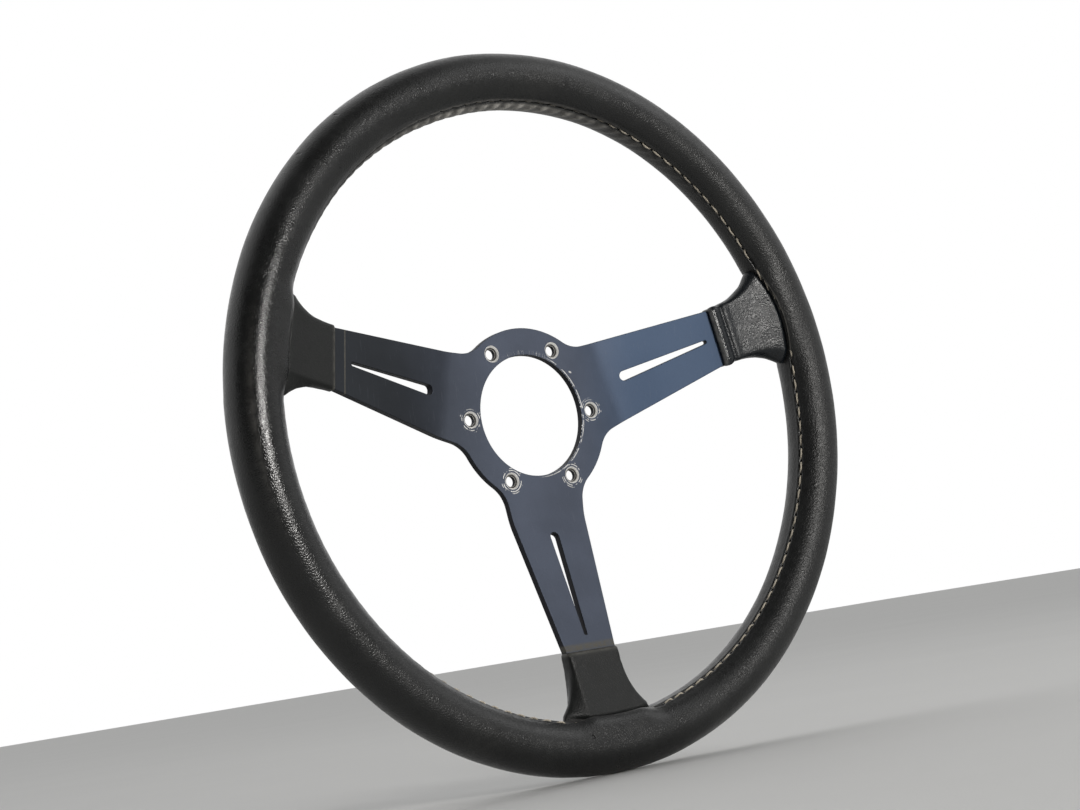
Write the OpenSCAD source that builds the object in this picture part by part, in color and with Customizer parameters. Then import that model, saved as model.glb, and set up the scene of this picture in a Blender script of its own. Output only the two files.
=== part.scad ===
// Three-spoke sports steering wheel with a leather rim.
//
// Each sub-part is drawn with the wheel's axis along Z, the front (driver's side) up and the
// back of the hub on z = 0. on_edge() then stands the wheel up: the axis lies along Y, the front
// faces -Y, and the single spoke points down along -Z. The origin stays on the axis, on the face
// that bolts to the steering boss.

/* [Rim] */
// Outer diameter of the rim over its leather
wheel_d = 360; // [350:1:370]
// Thickness of the grip over its leather
grip_d = 26.5; // [26:0.5:30]
// Thickness of the leather
leather_t = 1.25; // [1:0.05:1.5]
// Height of the rim's middle plane above the mounting face
dish = 26; // [25:0.5:27]
// Angle of the seam from the inner equator of the grip towards the front
seam_angle = 20; // [10:1:30]

/* [Hoop] */
// Width of the flat steel hoop inside the rim
hoop_w = 13.5; // [12:0.5:15]
// Thickness of the hoop
hoop_t = 3; // [2:0.5:4]
// Diameter of the rivets that hold the spokes to the hoop
rivet_d = 5; // [4:0.5:6]

/* [Hub] */
// Diameter of the hub disc
hub_d = 89; // [87:1:92]
// Diameter of the centre hole
bore_d = 61.5; // [58:0.5:63]
// Diameter of the bolt circle
bolt_pcd = 74; // [73:0.5:75]
// Number of bolt holes
bolt_count = 6; // [3:1:6]
// Diameter of each bolt hole
bolt_hole_d = 5.4; // [5:0.1:6]
// Diameter of the countersink at each bolt hole
bolt_csk_d = 8.4; // [7:0.1:9]

/* [Spokes] */
// Thickness of the spoke plate
plate_t = 4; // [3:0.5:5]
// Angle of the two side spokes above horizontal
side_spoke_angle = 15; // [10:1:20]
// Half width that the straight spoke edges would have on the axis
spoke_half_w = 27.3; // [26:0.1:28]
// Angle of each spoke edge to the spoke's middle line
spoke_taper = 5.95; // [5.5:0.05:6.2]
// Radius of the fillets between the hub disc and the spokes
hub_fillet_r = 16; // [12:1:18]
// Distance from the axis to the bend line
bend_at = 52.2; // [50:0.1:56]
// Angle that the spokes rise towards the rim
rise_angle = 14; // [13:0.5:15]
// Inside radius of the bend at the hub
bend_r = 28; // [20:1:30]

/* [Slots] */
// Distance from the axis to the inner end of each slot
slot_from = 59.7; // [58:0.1:64]
// Distance from the axis to the outer end of each slot
slot_to = 112.3; // [100:0.1:113]
// Width of a slot at its inner end
slot_wide = 5; // [4:0.1:6]
// Width of a slot at its outer end
slot_narrow = 1.8; // [1.5:0.1:3]

/* [Boots] */
// Distance from the axis to the open end of the left boot
left_boot_from = 122; // [120:0.5:124]
// Distance from the axis to the open end of the right boot
right_boot_from = 117.5; // [116:0.5:120]
// Distance from the axis to the open end of the bottom boot
bottom_boot_from = 119.5; // [118:0.5:122]
// Radius of the flare where a boot widens into the rim
flare_r = 32; // [28:1:34]
// Diameter of the sewing thread as laid in its seam
thread_d = 1.2; // [1:0.1:1.2]

/* [Hidden] */
$fn = 96;

left_angle = 180 - side_spoke_angle;
right_angle = side_spoke_angle;
bottom_angle = 270;
spoke_angles = [left_angle, right_angle, bottom_angle];

grip_r = grip_d / 2;
rim_r = wheel_d / 2 - grip_r;
core_r = grip_r - leather_t;
hub_r = hub_d / 2;
cut = 1;

// Spoke profile, from the hub to the tongue that is riveted to the hoop
bend_from = bend_at - bend_r * tan(rise_angle / 2);
tongue_bend_r = 10;
tongue_inside = 19;
tongue_outside = 4.5;
tongue_bend_at = rim_r - tongue_inside;
tongue_end = rim_r + tongue_outside;
tongue_z = front_z(tongue_bend_at) - plate_t;
bend_steps = 8;
arm_from = 34;
fillet_steps = 12;
lobe_step = 3;
plate_strip_w = 60;

// Rivets
rivet_inset = 0.75;
rivet_r = rim_r - rivet_inset;
rivet_spread = 5;
rivet_head_d = 9;
rivet_head_h = 2.2;
rivet_tail_d = 7.5;
rivet_tail_h = 2;

// Boots and the foam roots inside them
flare_from = 127;
flare_base = 15.2;
flare_share = 0.94;
flare_steps = 12;
root_lead_in = 6;
boot_overlap = 4;
boot_end = rim_r - boot_overlap;
boot_depth = 60;

// Seams
thread_play = 0.05;
seam_gap = thread_d + 2 * thread_play;
seam_thread_r = core_r + thread_d / 2 + thread_play;
boot_seam_climb = 7;
boot_seam_angle = seam_angle + boot_seam_climb;
boot_thread_d = 1;
boot_seam_half_angle = 8.5;
seam_clear_angle = 10.5;
back_seam_margin = 2;

// Height of the front face of a rising spoke at a distance from the axis
function front_z(s) = plate_t + (s - bend_at) * tan(rise_angle);

// Height of the back face of a rising spoke at a distance from the axis
function back_z(s) = front_z(s) - plate_t / cos(rise_angle);

// Half width of a spoke at a distance from the axis
function spoke_half(s) = spoke_half_w - s * tan(spoke_taper);

// Half width of a boot's flare at a distance from the axis
function flare_half(s) = flare_base + flare_r - sqrt(pow(flare_r, 2) - pow(s - flare_from, 2));

// Points of an arc in a plane, about centre c, from angle a to angle b
function arc(c, r, a, b, steps) =
    [for (i = [0 : steps]) c + r * [cos(a + (b - a) * i / steps), sin(a + (b - a) * i / steps)]];

function reversed(list) = [for (i = [len(list) - 1 : -1 : 0]) list[i]];

function mirrored(list) = [for (p = reversed(list)) [p[0], -p[1]]];

function turned(p, angle) = [p[0] * cos(angle) - p[1] * sin(angle), p[0] * sin(angle) + p[1] * cos(angle)];

// Stands the wheel on its edge, front towards -Y
module on_edge() {
    rotate([90, 0, 0])
        children();
}

// Extrudes a side view, with the distance from the axis as x and the height as y, to a width
module side_view(width) {
    rotate([90, 0, 0])
        linear_extrude(width, center = true)
            children();
}

// Side view of a spoke's arm: flat at the hub, a bend, the rise, a bend back, and the flat tongue
module spoke_side() {
    hub_bend_c = [bend_from, plate_t + bend_r];
    tongue_bend_c = [
        tongue_bend_at + tongue_bend_r * tan(rise_angle / 2),
        tongue_z - tongue_bend_r
    ];
    front = concat(
        [[arm_from, plate_t]],
        arc(hub_bend_c, bend_r, -90, -90 + rise_angle, bend_steps),
        arc(tongue_bend_c, tongue_bend_r + plate_t, 90 + rise_angle, 90, bend_steps),
        [[tongue_end, tongue_z + plate_t]]
    );
    back = concat(
        [[arm_from, 0]],
        arc(hub_bend_c, bend_r + plate_t, -90, -90 + rise_angle, bend_steps),
        arc(tongue_bend_c, tongue_bend_r, 90 + rise_angle, 90, bend_steps),
        [[tongue_end, tongue_z]]
    );
    polygon(concat(front, reversed(back)));
}

// Plan of a spoke: two straight edges that close in towards the rim
module spoke_plan() {
    edge = [[0, spoke_half(0)], [tongue_end + cut, spoke_half(tongue_end + cut)]];
    polygon(concat(edge, mirrored(edge)));
}

module spoke() {
    intersection() {
        side_view(4 * spoke_half_w) spoke_side();
        translate([0, 0, -cut])
            linear_extrude(boot_depth) spoke_plan();
    }
}

// One edge of a spoke in plan, from the tongue's end to the round hollow beside the hub
function spoke_edge(angle, side) =
    let (
        off = spoke_half_w * cos(spoke_taper) + hub_fillet_r,
        along = sqrt(pow(hub_r + hub_fillet_r, 2) - pow(off, 2)),
        centre = [
            sin(spoke_taper) * off + cos(spoke_taper) * along,
            cos(spoke_taper) * off - sin(spoke_taper) * along
        ],
        hollow = arc(centre, hub_fillet_r, 270 - spoke_taper, 180 + atan2(centre[1], centre[0]), fillet_steps)
    )
    [for (p = concat([[tongue_end, spoke_half(tongue_end)]], hollow))
        turned([p[0], side * p[1]], angle)];

// Arc of the hub disc between two spokes
function hub_lobe(from_spoke, to_spoke) =
    let (
        off = spoke_half_w * cos(spoke_taper) + hub_fillet_r,
        clear = asin(off / (hub_r + hub_fillet_r)) - spoke_taper,
        span = to_spoke - from_spoke - 2 * clear,
        steps = ceil(span / lobe_step)
    )
    [for (i = [1 : steps - 1]) turned([hub_r, 0], from_spoke + clear + span * i / steps)];

// Plan of the whole plate: three spokes joined to the hub disc by round hollows
module plate_plan() {
    polygon(concat(
        spoke_edge(right_angle, 1),
        hub_lobe(right_angle, left_angle),
        reversed(spoke_edge(left_angle, -1)),
        spoke_edge(left_angle, 1),
        hub_lobe(left_angle, bottom_angle),
        reversed(spoke_edge(bottom_angle, -1)),
        spoke_edge(bottom_angle, 1),
        hub_lobe(bottom_angle, right_angle + 360),
        reversed(spoke_edge(right_angle, -1))
    ));
}

// Tapered slot with round ends, cut square to the rising face
module slot() {
    wide_r = slot_wide / 2;
    narrow_r = slot_narrow / 2;
    rise = 1 / cos(rise_angle);
    inner = (slot_from - bend_at) * rise + wide_r;
    outer = (slot_to - bend_at) * rise - narrow_r;
    tilt = asin((wide_r - narrow_r) / (outer - inner));
    side = [
        [inner + wide_r * sin(tilt), wide_r * cos(tilt)],
        [outer + narrow_r * sin(tilt), narrow_r * cos(tilt)]
    ];
    translate([bend_at, 0, plate_t])
        rotate([0, -rise_angle, 0])
            translate([0, 0, -2 * plate_t])
                linear_extrude(3 * plate_t) {
                    translate([inner, 0]) circle(wide_r);
                    translate([outer, 0]) circle(narrow_r);
                    polygon(concat(side, mirrored(side)));
                }
}

module bolt_hole() {
    csk_depth = (bolt_csk_d - bolt_hole_d) / 2;
    translate([0, 0, -cut])
        cylinder(plate_t + 2 * cut, d = bolt_hole_d);
    translate([0, 0, plate_t - csk_depth])
        cylinder(csk_depth + cut, d1 = bolt_hole_d, d2 = bolt_csk_d + 2 * cut);
}

module spoke_plate() {
    color([0.10, 0.11, 0.15])
        on_edge()
            difference() {
                intersection() {
                    translate([0, 0, -cut])
                        linear_extrude(boot_depth) plate_plan();
                    union() {
                        cylinder(plate_t, r = hub_r + 2 * cut);
                        for (angle = spoke_angles)
                            rotate([0, 0, angle])
                                side_view(plate_strip_w) spoke_side();
                    }
                }
                translate([0, 0, -cut])
                    cylinder(plate_t + 2 * cut, d = bore_d);
                for (i = [0 : bolt_count - 1])
                    rotate([0, 0, i * 360 / bolt_count])
                        translate([bolt_pcd / 2, 0, 0])
                            bolt_hole();
                for (angle = spoke_angles)
                    rotate([0, 0, angle]) {
                        slot();
                        rivet_holes();
                    }
            }
}

module rivet_holes() {
    for (side = [-1, 1])
        translate([rivet_r, side * rivet_spread, 0])
            cylinder(boot_depth, d = rivet_d);
}

module rim_hoop() {
    color([0.45, 0.45, 0.46])
        on_edge()
            difference() {
                translate([0, 0, tongue_z - hoop_t])
                    rotate_extrude()
                        translate([rim_r - hoop_w / 2, 0])
                            square([hoop_w, hoop_t]);
                for (angle = spoke_angles)
                    rotate([0, 0, angle])
                        rivet_holes();
            }
}

// One rivet: shank, domed head on the tongue and upset tail behind the hoop
module rivet() {
    dome_r = (pow(rivet_head_d / 2, 2) + pow(rivet_head_h, 2)) / (2 * rivet_head_h);
    head_z = tongue_z + plate_t;
    translate([0, 0, tongue_z - hoop_t])
        cylinder(hoop_t + plate_t, d = rivet_d);
    translate([0, 0, tongue_z - hoop_t - rivet_tail_h])
        cylinder(rivet_tail_h, d = rivet_tail_d);
    intersection() {
        translate([0, 0, head_z + rivet_head_h - dome_r])
            sphere(dome_r);
        translate([0, 0, head_z])
            cylinder(rivet_head_h + cut, d = rivet_head_d + cut);
    }
}

module all_rivets() {
    for (angle = spoke_angles)
        rotate([0, 0, angle])
            for (side = [-1, 1])
                translate([rivet_r, side * rivet_spread, 0])
                    rivet();
}

module hoop_rivets() {
    color([0.62, 0.62, 0.63])
        on_edge()
            all_rivets();
}

// Ring of round section about the wheel's axis, in the rim's middle plane
module grip_ring(r) {
    translate([0, 0, dish])
        rotate_extrude()
            translate([rim_r, 0])
                circle(r);
}

// Body that widens into the rim: straight sides, then a flare, between two heights
module flared_body(from, inset, bottom_z, top_lift) {
    straight = [from, flare_base - inset];
    first = max(from, flare_from);
    last = flare_from + flare_r * flare_share;
    flare = [
        for (i = [0 : flare_steps])
            let (s = first + (last - first) * i / flare_steps)
                [s, flare_half(s) - inset]
    ];
    edge = concat(from < flare_from ? [straight] : [], flare, [[boot_end, flare_half(last) - inset]]);
    side = [
        [from, bottom_z],
        [boot_end, bottom_z],
        [boot_end, front_z(boot_end) + top_lift],
        [from, front_z(from) + top_lift]
    ];
    intersection() {
        translate([0, 0, -cut])
            linear_extrude(boot_depth) polygon(concat(edge, mirrored(edge)));
        side_view(boot_depth * 2) polygon(side);
    }
}

// Foam root moulded round the end of a spoke, which gives the boot its flared shape
module foam_root(boot_from) {
    flared_body(boot_from + root_lead_in, leather_t, back_z(boot_from), 0);
}

module each_root() {
    rotate([0, 0, left_angle]) foam_root(left_boot_from);
    rotate([0, 0, right_angle]) foam_root(right_boot_from);
    rotate([0, 0, bottom_angle]) foam_root(bottom_boot_from);
}

module foam_core() {
    color([0.16, 0.16, 0.16])
        on_edge()
            difference() {
                union() {
                    grip_ring(core_r);
                    each_root();
                }
                translate([0, 0, tongue_z - hoop_t])
                    rotate_extrude()
                        translate([rim_r - hoop_w / 2, 0])
                            square([hoop_w, hoop_t]);
                for (angle = spoke_angles)
                    rotate([0, 0, angle])
                        spoke();
                all_rivets();
            }
}

// Leather strip wrapped round the core: its two long edges meet at the seam
module rim_leather() {
    color([0.05, 0.05, 0.05])
        on_edge()
            difference() {
                translate([0, 0, dish])
                    rotate_extrude()
                        translate([rim_r, 0])
                            difference() {
                                circle(grip_r);
                                circle(core_r);
                                rotate(180 - seam_angle)
                                    translate([core_r - cut, -seam_gap / 2])
                                        square([leather_t + 2 * cut, seam_gap]);
                            }
                each_root();
            }
}

// Leather sleeve round the end of a spoke, cut to the shape of the rim at its outer end
module boot(angle, from) {
    color([0.07, 0.07, 0.07])
        on_edge()
            rotate([0, 0, angle])
                difference() {
                    flared_body(from, 0, back_z(from) - leather_t, leather_t / cos(rise_angle));
                    spoke();
                    foam_root(from);
                    grip_ring(grip_r);
                }
}

module left_boot() {
    boot(left_angle, left_boot_from);
}

module right_boot() {
    boot(right_angle, right_boot_from);
}

module bottom_boot() {
    boot(bottom_angle, bottom_boot_from);
}

// Thread laid along the grip between two angles round the wheel
module ring_thread(from, to, across, at_r, d) {
    color([0.72, 0.69, 0.62])
        on_edge()
            translate([0, 0, dish])
                rotate([0, 0, from])
                    rotate_extrude(angle = to - from)
                        translate([rim_r - at_r * cos(across), at_r * sin(across)])
                            circle(d / 2);
}

module seam_thread(from_spoke, to_spoke) {
    ring_thread(
        from_spoke + seam_clear_angle,
        to_spoke - seam_clear_angle,
        seam_angle,
        seam_thread_r,
        thread_d
    );
}

module upper_seam_thread() {
    seam_thread(right_angle, left_angle);
}

module lower_left_seam_thread() {
    seam_thread(left_angle, bottom_angle);
}

module lower_right_seam_thread() {
    seam_thread(bottom_angle, right_angle + 360);
}

module boot_front_thread(angle) {
    ring_thread(
        angle - boot_seam_half_angle,
        angle + boot_seam_half_angle,
        boot_seam_angle,
        grip_r + boot_thread_d / 2,
        boot_thread_d
    );
}

module left_boot_front_thread() {
    boot_front_thread(left_angle);
}

module right_boot_front_thread() {
    boot_front_thread(right_angle);
}

module bottom_boot_front_thread() {
    boot_front_thread(bottom_angle);
}

// Thread that closes a boot along the middle of its back
module boot_back_thread(angle, from) {
    stitch_from = from + back_seam_margin;
    stitch_to = rim_r - grip_r - back_seam_margin;
    color([0.08, 0.08, 0.08])
        on_edge()
            rotate([0, 0, angle])
                translate([stitch_from, 0, back_z(from) - leather_t - boot_thread_d / 2])
                    rotate([0, 90, 0])
                        cylinder(stitch_to - stitch_from, d = boot_thread_d);
}

module left_boot_back_thread() {
    boot_back_thread(left_angle, left_boot_from);
}

module right_boot_back_thread() {
    boot_back_thread(right_angle, right_boot_from);
}

module bottom_boot_back_thread() {
    boot_back_thread(bottom_angle, bottom_boot_from);
}

spoke_plate();
rim_hoop();
hoop_rivets();
foam_core();
rim_leather();
left_boot();
right_boot();
bottom_boot();
upper_seam_thread();
lower_left_seam_thread();
lower_right_seam_thread();
left_boot_front_thread();
right_boot_front_thread();
bottom_boot_front_thread();
left_boot_back_thread();
right_boot_back_thread();
bottom_boot_back_thread();
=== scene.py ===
"""Looks of the three-spoke leather steering wheel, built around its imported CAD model."""
from math import asin, atan2, cos, degrees, pi, radians, sin, sqrt, tan

import bmesh
import bpy
import numpy as np
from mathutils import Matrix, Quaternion, Vector
from mathutils.geometry import delaunay_2d_cdt


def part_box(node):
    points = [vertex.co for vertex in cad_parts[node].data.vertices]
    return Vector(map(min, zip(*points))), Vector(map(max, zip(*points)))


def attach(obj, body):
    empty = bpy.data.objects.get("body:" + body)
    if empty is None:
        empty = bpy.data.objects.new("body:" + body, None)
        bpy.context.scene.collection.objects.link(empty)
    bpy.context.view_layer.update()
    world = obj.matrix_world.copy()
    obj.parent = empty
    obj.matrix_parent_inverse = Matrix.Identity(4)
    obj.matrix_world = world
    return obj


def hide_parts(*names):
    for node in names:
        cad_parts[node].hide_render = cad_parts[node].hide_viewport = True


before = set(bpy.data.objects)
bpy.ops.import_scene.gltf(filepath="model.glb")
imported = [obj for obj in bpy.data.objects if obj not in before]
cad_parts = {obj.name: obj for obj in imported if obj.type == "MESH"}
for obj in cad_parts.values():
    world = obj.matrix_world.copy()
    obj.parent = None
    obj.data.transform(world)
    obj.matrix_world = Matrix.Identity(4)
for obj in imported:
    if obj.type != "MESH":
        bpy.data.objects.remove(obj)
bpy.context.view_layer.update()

# Everything is in metres. The wheel's axis is Y, its front faces -Y and its single spoke points
# down. "Depth" is the distance in front of the hub's back face, so a point's Y is minus its depth.

# Rim, measured on the CAD leather
leather_low, leather_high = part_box("rim_leather")
GRIP_R = (leather_high.y - leather_low.y) / 2
RIM_R = leather_high.x - GRIP_R
RIM_DEPTH = -(leather_low.y + leather_high.y) / 2
LEATHER_T = 0.00125
SEAM = radians(20)
STITCHES = 130
STITCH_TURN = 2 * pi / STITCHES
SEAM_R = RIM_R - GRIP_R * cos(SEAM)
STITCH_PITCH = SEAM_R * STITCH_TURN
THREAD_R = 0.00042
BACK_THREAD_R = 0.00036
# Where the seam's leather hangs loose in pleats, and the side that hands have polished
PLEATED_AT = radians(97)
POLISHED_AT = radians(178)
# The rim's seam stops this far to each side of a spoke, where the boot's own seam takes over
SEAM_STOP = radians(9.6)

# Spoke plate, as in the CAD source
PLATE_T = 0.004
HUB_R = 0.0445
BORE_R = 0.03075
BOLT_CIRCLE_R = 0.037
BOLT_R = 0.0027
COUNTERSINK = 0.0015
SPOKE_HALF_W = 0.0273
SPOKE_TAPER = radians(5.95)
HUB_FILLET_R = 0.016
BEND_AT = 0.0522
BEND_R = 0.028
RISE = radians(14)
TONGUE_BEND_AT = RIM_R - 0.019
TONGUE_END = RIM_R + 0.0045
SLOT_FROM, SLOT_TO = 0.0597, 0.1123
SLOT_WIDE_R, SLOT_NARROW_R = 0.0025, 0.0009
RIVET_AT, RIVET_SPREAD, RIVET_R = RIM_R - 0.00075, 0.005, 0.0025
EDGE_BREAK = 0.0003

BEND_FROM = BEND_AT - BEND_R * tan(RISE / 2)
BEND_ARC = BEND_R * RISE

# Boots, by spoke:
#   angle     the spoke's direction
#   start     where the open end is along the spoke, and slant, how far that end is cut at an angle
#   junction  where the leather meets the rim's on the grip, and bow, how far that line bulges
#   lip       how high the rim's leather stands beside the boot
#   hem       how strongly the open end is folded, and lift, how far its front stands proud
#   crease    how much each side keeps the plate's edge as a crease instead of flaring out
#   tuck      how deep and over what length the front dives into the slit at the rim
#   seed      picks the boot's own wrinkles
BOOTS = {
    "left": dict(
        angle=radians(165), start=0.12275, slant=-0.108, junction=radians(25),
        bow=0.0, lip=0.0030, hem=0.0, lift=0.0001, seed=3, crease=(0.05, 0.42),
        tuck=(0.0032, 0.0058)),
    "right": dict(
        angle=radians(15), start=0.11735, slant=0.070, junction=radians(24),
        bow=radians(14), lip=0.0012, hem=1.0, lift=0.0013, seed=5, crease=(0.10, 0.0),
        tuck=(0.0021, 0.0032)),
    "bottom": dict(
        angle=radians(270), start=0.1196, slant=0.0, junction=radians(25),
        bow=0.0, lip=0.0034, hem=0.12, lift=0.0004, seed=7, crease=(0.42, 0.05),
        tuck=(0.0030, 0.0050)),
}
# Small cuts across the rim's leather: turn round the wheel, turn round the grip, length
NICKS = [
    (radians(125.5), radians(155), 0.0042),
    (radians(135), radians(158), 0.0036),
    (radians(271), radians(47), 0.0048),
    (radians(263), radians(67), 0.0024),
]
NICK_WIDTH, NICK_DEPTH = 0.0010, 0.0006
NICK_COLOUR = (0.0012, 0.0012, 0.0012, 1)
HUB_CHIP = (0.0277, -PLATE_T, 0.0203)
BOOT_HALF_W = 0.0155
BOOT_TURN = radians(10.3)
BOOT_BACK = radians(-57)


# ---- small functions


def bell(x, width):
    return np.exp(-((x / width) ** 2))


def ease(x, start, end):
    """0 before start, 1 after end, and smooth between them."""
    t = np.clip((x - start) / (end - start), 0, 1)
    return t * t * (3 - 2 * t)


def unit(vectors):
    return vectors / np.linalg.norm(vectors, axis=-1, keepdims=True)


def ripple(points, wavelength, seed, waves=14):
    """A smooth random field between about -1 and 1, the same on every run."""
    rng = np.random.default_rng(seed)
    directions = unit(rng.normal(size=(waves, 3)))
    lengths = wavelength * rng.uniform(0.7, 1.6, waves)
    phases = rng.uniform(0, 2 * pi, waves)
    total = 0
    for direction, length, phase in zip(directions, lengths, phases):
        total = total + np.cos(points @ direction * 2 * pi / length + phase)
    return total / sqrt(waves * 2)


def angle_from(phi, centre):
    """Signed angle from centre to phi, between -pi and pi."""
    return (phi - centre + pi) % (2 * pi) - pi


def spoke_point(angle, along, across, depth):
    """Point at a distance along a spoke, across it and in front of the hub's back face."""
    x = along * cos(angle) - across * sin(angle)
    z = along * sin(angle) + across * cos(angle)
    return np.stack(np.broadcast_arrays(x, -depth, z), -1)


def grip_point(phi, psi, proud=0.0):
    """Point on the grip: phi goes round the wheel, psi round the grip from its inside to the front."""
    reach = GRIP_R + proud
    r = RIM_R - reach * np.cos(psi)
    depth = RIM_DEPTH + reach * np.sin(psi)
    return np.stack(np.broadcast_arrays(r * np.cos(phi), -depth, r * np.sin(phi)), -1)


def grid_quads(rows, columns, closed, first=0):
    """Faces of a grid that is closed along its columns, and perhaps along its rows too."""
    u = np.arange(rows if closed else rows - 1)
    u, v = np.meshgrid(u, np.arange(columns), indexing="ij")
    next_u, next_v = (u + 1) % rows, (v + 1) % columns
    quads = [u * columns + v, next_u * columns + v, next_u * columns + next_v, u * columns + next_v]
    return np.stack(quads, -1).reshape(-1, 4) + first


def mesh_object(name, vertices, faces, materials, slots=None):
    """A smooth-shaded object. slots gives each face the index of its material."""
    mesh = bpy.data.meshes.new(name)
    mesh.from_pydata(np.asarray(vertices).reshape(-1, 3).tolist(), [], [list(f) for f in faces])
    for material in materials:
        mesh.materials.append(material)
    mesh.polygons.foreach_set("use_smooth", np.ones(len(mesh.polygons), bool))
    if slots is not None:
        mesh.polygons.foreach_set("material_index", np.asarray(slots, np.int32))
    mesh.validate()
    mesh.update()
    thing = bpy.data.objects.new(name, mesh)
    bpy.context.scene.collection.objects.link(thing)
    return thing


def paint(thing, name, values):
    """Stores one number for each vertex, which a material reads by name."""
    attribute = thing.data.attributes.new(name, "FLOAT", "POINT")
    attribute.data.foreach_set("value", np.asarray(values, np.float32).ravel())


def place(thing, slot, *nodes):
    """Attaches a finished piece to the root body and hides the CAD nodes that it stands for."""
    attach(thing, "root")
    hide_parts(*nodes)


# ---- materials


class NodeTree:
    """Short calls that add nodes to a shader tree."""

    def __init__(self, tree):
        self.tree = tree

    def node(self, kind, settings=(), **inputs):
        made = self.tree.nodes.new(kind)
        for name, value in dict(settings).items():
            setattr(made, name, value)
        for name, value in inputs.items():
            self.feed(made.inputs[name.replace("_", " ")], value)
        return made

    def feed(self, socket, value):
        if isinstance(value, bpy.types.NodeSocket):
            self.tree.links.new(value, socket)
        else:
            socket.default_value = value

    def remap(self, value, low, high, to_low=0.0, to_high=1.0):
        made = self.node(
            "ShaderNodeMapRange", {"interpolation_type": "SMOOTHSTEP"}, Value=value,
            From_Min=low, From_Max=high, To_Min=to_low, To_Max=to_high)
        return made.outputs["Result"]

    def operate(self, kind, operation, *values):
        made = self.node(kind, {"operation": operation})
        for socket, value in zip(made.inputs, values):
            self.feed(socket, value)
        return made.outputs

    def math(self, operation, *values):
        return self.operate("ShaderNodeMath", operation, *values)[0]

    def times(self, a, b):
        return self.math("MULTIPLY", a, b)

    def plus(self, a, b):
        return self.math("ADD", a, b)

    def minus(self, a, b):
        return self.math("SUBTRACT", a, b)

    def larger(self, a, b):
        return self.math("MAXIMUM", a, b)

    def vector_math(self, operation, *values):
        return self.operate("ShaderNodeVectorMath", operation, *values)


class Shader(NodeTree):
    """A material with a Principled shader, and short calls that shape its surface."""

    def __init__(self, name):
        self.material = bpy.data.materials.new(name)
        self.material.use_nodes = True
        super().__init__(self.material.node_tree)
        self.surface = self.tree.nodes["Principled BSDF"]
        self.place = self.node("ShaderNodeTexCoord").outputs["Object"]

    def set(self, **inputs):
        for name, value in inputs.items():
            self.feed(self.surface.inputs[name.replace("_", " ")], value)

    def stretched(self, scale):
        """Object coordinates, stretched by a scale for each axis."""
        return self.node("ShaderNodeMapping", Vector=self.place, Scale=scale).outputs["Vector"]

    def noise(self, scale, detail=4.0, roughness=0.5, vector=None):
        made = self.node(
            "ShaderNodeTexNoise", Vector=vector or self.place,
            Scale=scale, Detail=detail, Roughness=roughness)
        return made.outputs["Fac"]

    def cells(self, scale, feature="DISTANCE_TO_EDGE"):
        made = self.node(
            "ShaderNodeTexVoronoi", {"feature": feature}, Vector=self.place, Scale=scale)
        return made.outputs["Distance"]

    def blend(self, amount, a, b):
        made = self.node("ShaderNodeMix", {"data_type": "RGBA"})
        self.feed(made.inputs["Factor"], amount)
        self.feed(made.inputs[6], a)
        self.feed(made.inputs[7], b)
        return made.outputs[2]

    def hub_distances(self):
        """Distance from the axis, angle round it, and distance from the nearest bolt hole."""
        x, _, z = self.node("ShaderNodeSeparateXYZ", Vector=self.place).outputs
        r = self.length(x, z)
        turn = self.math("ARCTAN2", z, x)
        # Each sixth of the hub holds one bolt hole, so a folded angle gives the distance to its own
        sixth = pi / 3
        folded = self.math("FLOORED_MODULO", self.plus(turn, sixth / 2), sixth)
        folded = self.minus(folded, sixth / 2)
        off_x = self.times(r, self.math("COSINE", folded))
        off_x = self.minus(off_x, BOLT_CIRCLE_R)
        off_y = self.times(r, self.math("SINE", folded))
        return r, turn, self.length(off_x, off_y)

    def length(self, a, b):
        squares = self.plus(self.times(a, a), self.times(b, b))
        return self.math("SQRT", squares)

    def band(self, value, centre, half_width):
        """1 where a value is at the centre, easing to 0 at half_width from it."""
        away = self.math("ABSOLUTE", self.minus(value, centre))
        return self.remap(away, half_width, half_width * 0.3)

    def mark(self, centre, direction, length, width):
        """1 on a short line through a point, easing to 0 off it."""
        away = self.vector_math("SUBTRACT", self.place, centre)["Vector"]
        run = self.vector_math("DOT_PRODUCT", away, direction)["Value"]
        far = self.vector_math("LENGTH", away)["Value"]
        aside = self.minus(self.times(far, far), self.times(run, run))
        aside = self.math("SQRT", self.larger(aside, 0.0))
        return self.times(self.band(aside, 0.0, width), self.band(run, 0.0, length / 2))

    def around(self, angle, scale):
        """A texture position that only changes with an angle."""
        return self.node("ShaderNodeCombineXYZ", X=self.times(angle, scale)).outputs[0]

    def attribute(self, name):
        return self.node("ShaderNodeAttribute", {"attribute_name": name}).outputs["Fac"]

    def bump(self, height, distance, under=None):
        made = self.node("ShaderNodeBump", Height=height, Distance=distance, Strength=1.0)
        if under is not None:
            self.feed(made.inputs["Normal"], under)
        return made.outputs["Normal"]


def scaled(colour, factor):
    return (*[c * factor for c in colour], 1)


def nick_mask(m, nicks):
    """1 on each nick, which runs round the grip."""
    cut = 0.0
    for phi, psi, length in nicks:
        across = unit(grip_point(phi, psi + 0.1) - grip_point(phi, psi - 0.1))
        nick = m.mark(tuple(grip_point(phi, psi)), tuple(across), length, NICK_WIDTH)
        cut = m.larger(nick, cut)
    return cut


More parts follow.
